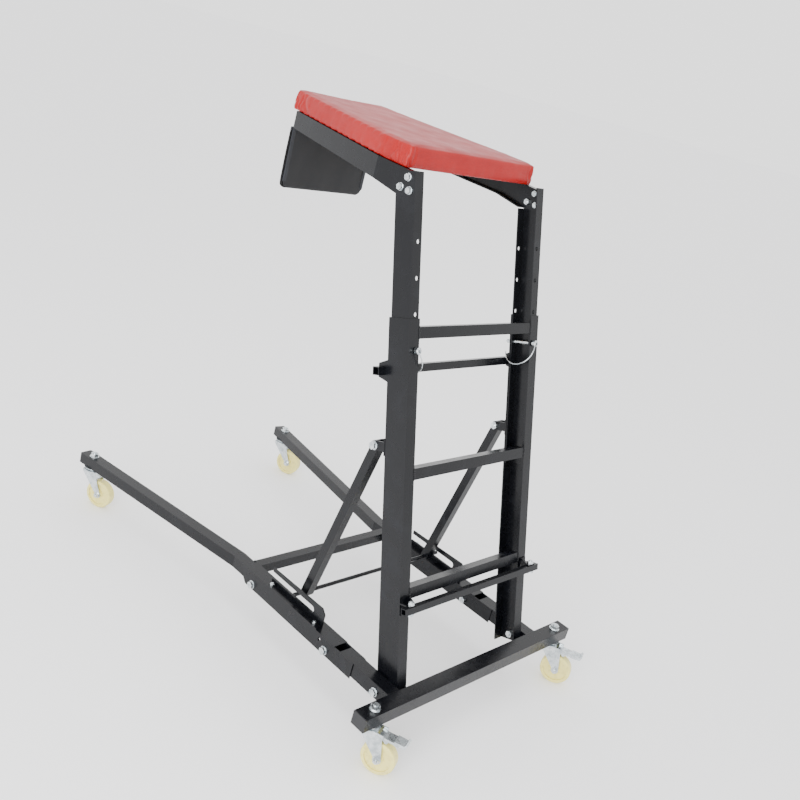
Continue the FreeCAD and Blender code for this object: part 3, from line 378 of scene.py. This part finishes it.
def plywood(finish):
    """Unfinished poplar plywood: long pale grain, dull."""
    material, tree, shader = new_material("poplar plywood", IOR=1.5, Roughness=0.72)
    where = add(tree, "ShaderNodeMapping", {"Vector": place_in(tree), "Scale": (1.0, 0.08, 1.0)}).outputs["Vector"]
    bands = spread(tree, grain(tree, where, 7, 6.0, 0.6), 0.35, 0.68)
    tree.links.new(two_tones(tree, bands, finish.wood, finish.wood_dark), shader.inputs["Base Color"])
    raised(tree, shader, bands, 0.08, 0.5)
    return material


def woven_nylon(name, thread, shadow, mm):
    """Plain-woven nylon: crossing threads with painted shade in the gaps between them and a dry sheen at the edges.
    """
    material, tree, shader = new_material(name, IOR=1.5, Roughness=0.78, Sheen_Weight=0.12, Sheen_Roughness=0.45)
    where = place_in(tree)
    scale = pi * every(mm) / 10
    across = add(tree, "ShaderNodeTexWave", {"Vector": where, "Scale": scale, "Distortion": 0.15},
                 bands_direction="X").outputs["Fac"]
    upward = add(tree, "ShaderNodeTexWave", {"Vector": where, "Scale": scale, "Distortion": 0.15},
                 bands_direction="Z").outputs["Fac"]
    woven = add(tree, "ShaderNodeMath", {0: across, 1: upward}, operation="MULTIPLY").outputs[0]
    faded = spread(tree, grain(tree, where, 55, 4.0), 0.35, 0.7, 0.55, 1.0)
    mask = add(tree, "ShaderNodeMath", {0: woven, 1: faded}, operation="MULTIPLY").outputs[0]
    # Painted shade: the low gaps between the threads take the shadow colour, and random faded patches lean towards
    # it too
    tree.links.new(two_tones(tree, mask, shadow, thread), shader.inputs["Base Color"])
    raised(tree, shader, woven, 0.3, 0.6)
    return material


class CREEPER_OT_frame_finish(Operator):
    """Coat the tubes, plate the casters and fasteners, and finish wheels, plugs and board"""

    bl_idname = "creeper.frame_finish"
    bl_label = "Finish the frame"

    def execute(self, context):
        finish = context.scene.creeper_finish
        paint_nodes(black_powder_coat(finish), *nodes_of_slot("black_painted_steel"))
        caster_zinc = zinc_plate("zinc plated pressings", finish.zinc, finish.zinc_dull, 0.27, 16)
        paint_nodes(caster_zinc, *nodes_of_slot("zinc_caster_steel"))
        bolt_zinc = zinc_plate("bright zinc fasteners", finish.bolt, finish.zinc_dull, 0.22, 8)
        paint_nodes(bolt_zinc, *nodes_of_slot("zinc_fasteners"))
        paint_nodes(cast_nylon(finish), *nodes_of_slot("cream_nylon"))
        paint_nodes(moulded_polyethylene(finish), *nodes_of_slot("black_plastic"))
        paint_nodes(plywood(finish), *nodes_of_slot("plywood"))
        return {"FINISHED"}


# ------------------------------------------------------------ padded deck
def settle_cover(piece, pad, held):
    """Lets the foam push the cover out, with some points held, and keeps the result."""
    start = [v.co.copy() for v in piece.data.vertices]
    group = piece.vertex_groups.new(name="held")
    group.add(held, 1.0, "REPLACE")
    cloth = piece.modifiers.new("cover", "CLOTH")
    cloth.settings.quality = 6
    cloth.settings.mass = 0.4
    cloth.settings.tension_stiffness = 25
    cloth.settings.compression_stiffness = 25
    cloth.settings.shear_stiffness = 12
    cloth.settings.bending_stiffness = 2.5
    cloth.settings.use_pressure = True
    cloth.settings.uniform_pressure_force = pad.pressure
    cloth.settings.vertex_group_mass = "held"
    cloth.settings.effector_weights.gravity = 0
    cloth.collision_settings.use_collision = False
    cloth.point_cache.frame_start = 1
    cloth.point_cache.frame_end = pad.frames
    scene = bpy.context.scene
    for step in range(1, pad.frames + 1):
        scene.frame_set(step)
    posed = piece.evaluated_get(bpy.context.evaluated_depsgraph_get())
    settled = [v.co.copy() for v in posed.data.vertices]
    piece.modifiers.remove(cloth)
    scene.frame_set(1)
    for vertex, a, b in zip(piece.data.vertices, start, settled):
        move = b - a
        if move.length > pad.swell:
            move = move.normalized() * pad.swell
        vertex.co = a + move


class CREEPER_OT_deck_pad(Operator):
    """Foam deck in its vinyl cover, swollen between its edges and tucked at the corners"""

    bl_idname = "creeper.deck_pad"
    bl_label = "Make the padded deck"

    def execute(self, context):
        pad = context.scene.creeper_pad
        vinyl = upholstery_vinyl(context.scene.creeper_finish)
        mount = next(m for m in frame["record"]["mounts"] if m["name"] == "chest_rest")
        up = Vector(mount["axis"])
        ahead = Vector((0, up.z, -up.y))
        solid = frame["nodes"]["pad"].data
        spots = [v.co for v in solid.vertices]
        origin = Vector((0, 0, 0)) + ahead * min(p.dot(ahead) for p in spots) + up * min(p.dot(up) for p in spots)
        to_pad = Matrix((Vector((1, 0, 0)), ahead, up)).to_4x4() @ Matrix.Translation(-origin)
        mesh = solid.copy()
        mesh.name = "deck_pad"
        mesh.transform(to_pad)
        middle = Vector((0, max(v.co.y for v in mesh.vertices) / 2, 0))
        for vertex in mesh.vertices:
            away = (vertex.co - middle) * Vector((1, 1, 0))
            vertex.co -= away.normalized() * pad.slack
            if vertex.co.z > 0.02:
                vertex.co.z -= pad.slack
        piece = new_piece("deck_pad", mesh, vinyl, "upper_frame")
        remesh = piece.modifiers.new("even mesh", "REMESH")
        remesh.mode = "VOXEL"
        remesh.voxel_size = pad.voxel
        context.view_layer.update()
        fresh = bpy.data.meshes.new_from_object(piece.evaluated_get(context.evaluated_depsgraph_get()))
        piece.modifiers.clear()
        piece.data = fresh
        held = [v.index for v in fresh.vertices if v.co.z < 0.013]
        settle_cover(piece, pad, held)
        tidy = piece.modifiers.new("even tension", "SMOOTH")
        tidy.factor, tidy.iterations = 0.5, 1
        finer = piece.modifiers.new("finer", "SUBSURF")
        finer.levels = finer.render_levels = 1
        context.view_layer.update()
        fresh = bpy.data.meshes.new_from_object(piece.evaluated_get(context.evaluated_depsgraph_get()))
        piece.modifiers.clear()
        piece.data = fresh
        self.tuck(fresh, pad)
        fresh.transform(to_pad.inverted())
        fresh.materials.clear()
        fresh.materials.append(vinyl)
        fresh.polygons.foreach_set("use_smooth", [True] * len(fresh.polygons))
        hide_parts("pad")
        return {"FINISHED"}

    def tuck(self, mesh, pad):
        """Tucked folds round each corner, dimples over the staples and faint drag lines."""
        length = max(v.co.y for v in mesh.vertices)
        corners = []
        for y in (0.0, length):
            near = [v.co.x for v in mesh.vertices if abs(v.co.y - y) < 0.03]
            for side in (-1, 1):
                corners.append((Vector((side * (max(near) - 0.026), abs(y - 0.026), 0)), side, y > 0))
        normals = [v.normal.copy() for v in mesh.vertices]
        for vertex, normal in zip(mesh.vertices, normals):
            here = vertex.co
            flat = 1 - abs(normal.z)
            depth = 0.0
            for centre, side, far in corners:
                gap = here - centre
                if hypot(gap.x, gap.y) > 0.06:
                    continue
                turn = atan2(abs(gap.y), gap.x * side)
                low = max(0.0, 1 - here.z / 0.05)
                for fold, weight in ((0.35, 0.8), (0.8, 1.0), (1.2, 0.75)):
                    lean = fold + 0.12 * sin(here.z * 130 + fold * 9)
                    depth += pad.fold * weight * (0.35 + 0.65 * low) * exp(-((turn - lean) / 0.12) ** 2)
                    depth -= 0.45 * pad.fold * weight * low * exp(-((turn - lean - 0.21) / 0.11) ** 2)
            along = here.y if abs(normal.x) > abs(normal.y) else here.x
            low = max(0.0, 1 - here.z / 0.03)
            depth += pad.pull * low * (0.5 + 0.5 * cos(along * 2 * pi / 0.034)) ** 2
            depth += 0.0004 * noise.noise(here * 28)
            vertex.co = here - normal * depth * flat


# ------------------------------------------------------------ tool pouch
class CREEPER_OT_tool_pouch(Operator):
    """Sewn nylon pouch: back panel, sagging pocket, binding, hanging loops and stitches"""

    bl_idname = "creeper.tool_pouch"
    bl_label = "Make the tool pouch"

    def execute(self, context):
        pouch = context.scene.creeper_pouch
        finish = context.scene.creeper_finish
        self.low, self.high = (Vector(c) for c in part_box("pouch"))
        self.pouch = pouch
        cloth = woven_nylon("woven nylon", finish.nylon_cloth, finish.nylon_shadow, finish.weave)
        # The binding's weave has the thread colour on its threads and the tape colour as painted shade in its gaps
        tape = woven_nylon("nylon binding tape", finish.thread, finish.tape, finish.weave * 0.8)
        thread = woven_nylon("spun polyester thread", finish.thread, finish.nylon_shadow, 0.5)
        pieces = [
            self.pocket(cloth), self.back_panel(cloth), self.binding(tape), self.loops(tape), self.stitches(thread),
        ]
        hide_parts("pouch")
        return {"FINISHED"}

    def rim_height(self, x):
        """Height of the pocket's rim, which sags between its sides."""
        half = self.high.x
        return self.high.z - self.pouch.pocket_drop - self.pouch.sag * (1 - (x / half) ** 2)

    def foot(self, x, half):
        """Height of the pouch's lower edge, which rises round its corners."""
        turn = self.pouch.corner
        past = min(turn, max(0.0, abs(x) - half + turn))
        return self.low.z + turn - (turn * turn - past * past) ** 0.5

    def front(self, x, z):
        """Y of the pocket's front, full low down and drawn in at sides and rim."""
        half = self.high.x
        height = (z - self.low.z) / (self.rim_height(x) - self.low.z)
        depth = self.high.y - self.low.y - 2 * self.pouch.cloth
        across = (1 - min(1.0, abs(x) / half) ** 5) ** 0.6
        belly = 0.66 + 0.34 * sin(pi * min(1.0, height * 0.85 + 0.12))
        ripple = 0.0011 * sin(x * 95 + 3 * height) + 0.0016 * noise.noise(Vector((x * 24, 3.1, z * 15)))
        round_foot = min(1.0, (height / 0.07) ** 0.5) if height > 0 else 0.0
        return self.low.y + self.pouch.cloth + max(0.0008, (depth * belly + ripple) * across * round_foot)

    def pocket(self, material):
        points, faces = [], []
        columns, rows = 88, 52
        half = self.high.x - 0.0012
        for j in range(rows + 1):
            for i in range(columns + 1):
                x = -half + 2 * half * i / columns
                low = self.foot(x, half) + 0.0015
                z = low + (self.rim_height(x) - low) * (j / rows) ** 1.25
                points.append((x, min(self.front(x, z), self.high.y), z))
        width = columns + 1
        for j in range(rows):
            for i in range(columns):
                a = j * width + i
                faces.append((a, a + 1, a + 1 + width, a + width))
        piece = new_piece("pouch_pocket", mesh_of("pouch_pocket", points, faces), material,
                          "upper_frame")
        thick = piece.modifiers.new("cloth", "SOLIDIFY")
        thick.thickness = self.pouch.cloth
        thick.offset = -1
        return piece

    def back_panel(self, material):
        points, faces = [], []
        columns, rows = 60, 44
        half = self.high.x - 0.006
        y0, y1 = self.low.y + 0.0002, self.low.y + self.pouch.cloth
        for j in range(rows + 1):
            for i in range(columns + 1):
                x = -half + 2 * half * i / columns
                low = self.foot(x, half) + 0.003
                z = low + (self.high.z - low) * j / rows
                corner = max(0.0, abs(x) - half + 0.014)
                if j > rows - 5:
                    z -= corner * corner / 0.028
                droop = 0.0010 * sin(x * 60) * (1 - j / rows) + 0.0007 * noise.noise(Vector((x * 30, 7, z * 22)))
                points.append((x, (y0 + y1) / 2 + max(-0.0005, droop), z))
        width = columns + 1
        for j in range(rows):
            for i in range(columns):
                a = j * width + i
                faces.append((a, a + 1, a + 1 + width, a + width))
        piece = new_piece("pouch_back", mesh_of("pouch_back", points, faces), material,
                          "upper_frame")
        thick = piece.modifiers.new("cloth", "SOLIDIFY")
        thick.thickness = self.pouch.cloth
        thick.offset = 0
        return piece

    def rim_line(self, count=90):
        half = self.high.x - 0.0015
        line = []
        for i in range(count + 1):
            x = -half + 2 * half * i / count
            z = self.rim_height(x)
            line.append(Vector((x, min(self.front(x, z) - self.pouch.cloth / 2, self.high.y - 0.002), z)))
        return line

    def edge_line(self, count=60):
        """Up one side of the back panel, over its top and down the other side."""
        half, turn = self.high.x - 0.006, 0.014
        y = self.low.y + self.pouch.cloth / 2
        low, top = self.low.z + self.pouch.corner, self.high.z - 0.0008
        line = [Vector((-half, y, low + (top - turn - low) * i / 20)) for i in range(20)]
        for i in range(9):
            a = pi - pi / 2 * i / 8
            line.append(Vector((-half + turn + turn * cos(a), y, top - turn + turn * sin(a))))
        right = [Vector((-p.x, p.y, p.z)) for p in reversed(line)]
        return line + right

    def binding(self, material):
        """Tape folded over the pocket's rim and the panel's edge."""
        points, faces = [], []
        thick, wide = self.pouch.cloth * 0.95, self.pouch.tape
        for line, sunk in ((self.rim_line(), 1.0), (self.edge_line(), 1.0)):
            flat = []
            for i, here in enumerate(line):
                pucker = 1 + 0.10 * sin(i * 1.9)
                flat.append([
                    (thick * pucker, 0.0005), (thick * 0.6, 0.0012), (-thick * 0.6, 0.0012),
                    (-thick * pucker, 0.0005), (-thick * pucker, -wide), (thick * pucker, -wide),
                ])
            if line is not None and abs(line[0].x - line[1].x) < 1e-6:
                self.add_edge_tape(points, faces, line, thick, wide)
            else:
                add_tube(points, faces, line, flat)
        return new_piece("pouch_binding", mesh_of("pouch_binding", points, faces), material,
                         "upper_frame", smooth=False)

    def add_edge_tape(self, points, faces, line, thick, wide):
        """Tape in the panel's own plane, folded over its outer edge."""
        first = len(points)
        middle = Vector((0, line[0].y, (line[0].z + line[len(line) // 2].z) / 2))
        for i, here in enumerate(line):
            before, after = line[max(i - 1, 0)], line[min(i + 1, len(line) - 1)]
            along = (after - before).normalized()
            inward = Vector((along.z, 0, -along.x))
            proud = Vector((0, thick, 0))
            out = here - inward * 0.0008
            points += [out - proud * 0.6, here - proud, here + inward * wide - proud,
                       here + inward * wide + proud, here + proud, out + proud * 0.6]
        for i in range(len(line) - 1):
            low, high = first + 6 * i, first + 6 * (i + 1)
            for k in range(6):
                faces.append((low + k, low + (k + 1) % 6, high + (k + 1) % 6, high + k))
        faces.append(tuple(first + k for k in reversed(range(6))))
        faces.append(tuple(first + 6 * (len(line) - 1) + k for k in range(6)))

    def loops(self, material):
        """Four webbing loops that carry the panel round the crossbar at the deck's far end."""
        points, faces = [], []
        low, high = (Vector(c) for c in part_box("pad_crossbar"))
        gap, thick, half_width = 0.0004, 0.0012, 0.014
        y0, y1, z0, z1 = low.y - gap, high.y + gap, low.z - gap, high.z + gap
        panel, top = self.low.y - 0.0014, self.high.z
        path = [(panel, top - 0.016), (panel, top - 0.001), (y1, z1), (y0, z1), (y0, z0), (y1, z0),
                (panel - 0.0016, top - 0.006), (panel - 0.0016, top - 0.016)]
        for x in (-0.105, -0.037, 0.037, 0.105):
            first = len(points)
            for n, (y, z) in enumerate(path):
                out_y = thick if y >= (y0 + y1) / 2 else -thick
                out_z = thick if z > (z0 + z1) / 2 else -thick
                inner = n >= 6
                for dx in (-half_width, half_width):
                    points.append(Vector((x + dx, y, z)))
                    points.append(Vector((x + dx, y + (0 if inner else out_y * 0.9), z + (0 if n in (0, 1, 6, 7) else out_z))))
            for n in range(len(path) - 1):
                a, b = first + 4 * n, first + 4 * (n + 1)
                faces += [(a, a + 2, b + 2, b), (a + 1, b + 1, b + 3, a + 3), (a, b, b + 1, a + 1),
                          (a + 2, a + 3, b + 3, b + 2)]
            faces += [(first, first + 1, first + 3, first + 2)]
            last = first + 4 * (len(path) - 1)
            faces += [(last, last + 2, last + 3, last + 1)]
        return new_piece("pouch_loops", mesh_of("pouch_loops", points, faces), material,
                         "upper_frame", smooth=False)

    def stitches(self, material):
        """Two rows of stitches: along the rim's tape and round the panel's tape."""
        points, faces = [], []
        step, wide = self.pouch.stitch, self.pouch.tape * 0.8
        rim = [p + Vector((0, self.pouch.cloth * 1.25, -wide)) for p in self.rim_line(160)]
        centre = Vector((0, self.low.y, (self.low.z + self.high.z) / 2))
        edge = []
        for p in self.edge_line():
            inward = Vector((-1 if p.x > 0 else 1, 0, 0)) if p.z < self.high.z - 0.02 else Vector((0, 0, -1))
            edge.append(p + inward * wide + Vector((0, -self.pouch.cloth * 1.02, 0)))
        for line in (rim, edge):
            travelled = 0.0
            for a, b in zip(line, line[1:]):
                length = (b - a).length
                if length < 1e-6:
                    continue
                along = (b - a).normalized()
                while travelled < length:
                    start = a + along * travelled
                    end = start + along * step * 0.68
                    ring = [(0.00035 * cos(t * pi / 3), 0.00035 * sin(t * pi / 3)) for t in range(6)]
                    thin = [(x * 0.5, y * 0.5) for x, y in ring]
                    quarter = (end - start) / 4
                    add_tube(points, faces, [start, start + quarter, end - quarter, end], [thin, ring, ring, thin])
                    travelled += step
                travelled -= length
        return new_piece("pouch_stitches", mesh_of("pouch_stitches", points, faces), material,
                         "upper_frame")


# ------------------------------------------------------------ welds
class CREEPER_OT_weld_beads(Operator):
    """Rippled beads where tubes and plates are welded"""

    bl_idname = "creeper.weld_beads"
    bl_label = "Lay the weld beads"

    def execute(self, context):
        weld = context.scene.creeper_weld
        steel = frame["nodes"]["rear_crossbar"].data.materials[0]
        groups = {"base": self.base_lines(), "ladder": self.ladder_lines()}
        for body, lines in groups.items():
            points, faces = [], []
            for a, b in lines:
                self.bead(points, faces, a, b, weld)
            new_piece("weld_beads_" + body, mesh_of("weld_beads_" + body, points, faces), steel, body)
        return {"FINISHED"}

    def bead(self, points, faces, a, b, weld):
        count = max(4, round((b - a).length / weld.ripple * 4))
        line, rings = [], []
        for i in range(count + 1):
            t = i / count
            line.append(a.lerp(b, t) + Vector((0.0003 * noise.noise(a * 90 + Vector((i, 0, 0))), 0, 0)))
            size = weld.bead * (0.78 + 0.22 * abs(cos(pi * i / 4))) * (0.35 if i in (0, count) else 1.0)
            rings.append([(size * cos(k * pi / 4), size * sin(k * pi / 4)) for k in range(8)])
        add_tube(points, faces, line, rings)

    def base_lines(self):
        lines = []
        bar_low, bar_high = (Vector(c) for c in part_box("rear_crossbar"))
        for side in ("left", "right"):
            low, high = (Vector(c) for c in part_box("stub_" + side))
            y = bar_high.y
            lines.append((Vector((low.x, y, high.z)), Vector((high.x, y, high.z))))
            for x in (low.x, high.x):
                lines.append((Vector((x, y, low.z + 0.003)), Vector((x, y, high.z))))
        low, high = (Vector(c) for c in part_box("cross_tube"))
        for x in (low.x, high.x):
            for y in (low.y, high.y):
                lines.append((Vector((x, y, low.z + 0.003)), Vector((x, y, high.z))))
            lines.append((Vector((x, low.y, high.z)), Vector((x, high.y, high.z))))
        return lines

    def ladder_lines(self):
        lines = []
        for name in ("lower", "middle", "upper"):
            (x0, n0, s0), (x1, n1, s1) = ladder_box("rung_" + name)
            for x in (x0, x1):
                for s in (s0, s1):
                    lines.append((on_ladder(x, n0, s), on_ladder(x, n0 + 0.003, s)))
                lines.append((on_ladder(x, n0, s0), on_ladder(x, n0, s1)))
        for ear in (-1, 1):
            (x0, n0, s0), (x1, n1, s1) = ladder_box("handle_ears")
            x = x1 - 0.004 if ear > 0 else x0 + 0.004
            lines.append((on_ladder(x, n0, s0 + 0.002), on_ladder(x, n0, s1 - 0.002)))
            (x0, n0, s0), (x1, n1, s1) = ladder_box("handle_bar")
            spot = x - 0.0005 * ear
            lines.append((on_ladder(spot, n0, s1), on_ladder(spot, n1, s1)))
            lines.append((on_ladder(spot, n0, s0), on_ladder(spot, n0, s1)))
        return lines


# ------------------------------------------------------------ stage
class CREEPER_OT_stage(Operator):
    """Plain pale floor, soft light and the camera"""

    bl_idname = "creeper.stage"
    bl_label = "Set the stage"

    def execute(self, context):
        stage = context.scene.creeper_stage
        scene = context.scene
        points = [(-80, -80, 0), (80, -80, 0), (80, 80, 0), (-80, 80, 0)]
        mesh = mesh_of("floor", points, [(0, 1, 2, 3)])
        floor = bpy.data.objects.new("floor", mesh)
        scene.collection.objects.link(floor)
        material, tree, shader = new_material("matt studio floor", Roughness=0.85, IOR=1.45)
        shade = grain(tree, place_in(tree), 900, 2.0)
        tree.links.new(two_tones(tree, spread(tree, shade, 0.3, 0.7, 0.0, 0.08), stage.floor, "#F2F3F4"),
                       shader.inputs["Base Color"])
        mesh.materials.append(material)
        self.light("key", (-0.6, 0.3, 3.6), (0.0, 0.1, 0.6), 2.6, stage.key_power)
        self.light("side", (-3.0, -1.6, 1.6), (0.0, 0.0, 0.6), 2.4, stage.side_power)
        world = bpy.data.worlds.new("white surroundings")
        world.use_nodes = True
        sky = world.node_tree.nodes["Background"]
        sky.inputs["Color"].default_value = (1, 1, 1, 1)
        sky.inputs["Strength"].default_value = stage.sky
        scene.world = world
        self.camera(scene, stage)
        return {"FINISHED"}

    def light(self, name, place, target, size, power):
        data = bpy.data.lights.new(name, "AREA")
        data.shape = "SQUARE"
        data.size = size
        data.energy = power
        lamp = bpy.data.objects.new(name, data)
        bpy.context.scene.collection.objects.link(lamp)
        lamp.location = place
        lamp.rotation_euler = (Vector(target) - Vector(place)).to_track_quat("-Z", "Y").to_euler()

    def camera(self, scene, stage):
        az, el, roll = stage.azimuth, stage.elevation, stage.roll
        ahead = Vector((-sin(az) * cos(el), cos(az) * cos(el), -sin(el)))
        level = Vector((cos(az), sin(az), 0))
        upright = level.cross(ahead)
        right = level * cos(roll) + upright * sin(roll)
        up = upright * cos(roll) - level * sin(roll)
        data = bpy.data.cameras.new("camera")
        data.sensor_width = 36.0
        data.sensor_fit = "HORIZONTAL"
        data.lens = stage.lens
        camera = bpy.data.objects.new("camera", data)
        scene.collection.objects.link(camera)
        turn = Matrix((right, up, -ahead)).transposed().to_4x4()
        camera.matrix_world = Matrix.Translation(Vector(stage.camera_at)) @ turn
        scene.camera = camera


# ------------------------------------------------------------ add-on
OPERATORS = (
    CREEPER_OT_frame_finish, CREEPER_OT_deck_pad, CREEPER_OT_tool_pouch, CREEPER_OT_weld_beads, CREEPER_OT_stage,
)
VALUES = {
    "creeper_finish": FinishValues, "creeper_pad": PadValues, "creeper_pouch": PouchValues,
    "creeper_weld": WeldValues, "creeper_stage": StageValues,
}


class CREEPER_PT_panel(Panel):
    """Steps and values of the creeper"""

    bl_label = "Creeper"
    bl_idname = "CREEPER_PT_panel"
    bl_space_type = "VIEW_3D"
    bl_region_type = "UI"
    bl_category = "Creeper"

    def draw(self, context):
        for operator in OPERATORS:
            self.layout.operator(operator.bl_idname)
        for name in VALUES:
            group = getattr(context.scene, name)
            column = self.layout.column()
            column.label(text=name.replace("creeper_", "").capitalize())
            for key in group.bl_rna.properties.keys():
                if key not in ("rna_type", "name"):
                    column.prop(group, key)


def register():
    for cls in (*VALUES.values(), *OPERATORS, CREEPER_PT_panel):
        bpy.utils.register_class(cls)
    for name, cls in VALUES.items():
        setattr(bpy.types.Scene, name, PointerProperty(type=cls))


def unregister():
    for name in VALUES:
        delattr(bpy.types.Scene, name)
    for cls in (CREEPER_PT_panel, *OPERATORS[::-1], *VALUES.values()):
        bpy.utils.unregister_class(cls)


def main():
    register()
    bpy.ops.creeper.frame_finish()
    bpy.ops.creeper.deck_pad()
    bpy.ops.creeper.tool_pouch()
    bpy.ops.creeper.weld_beads()
    bpy.ops.creeper.stage()
    bpy.context.view_layer.update()


if __name__ == "__main__":
    main()
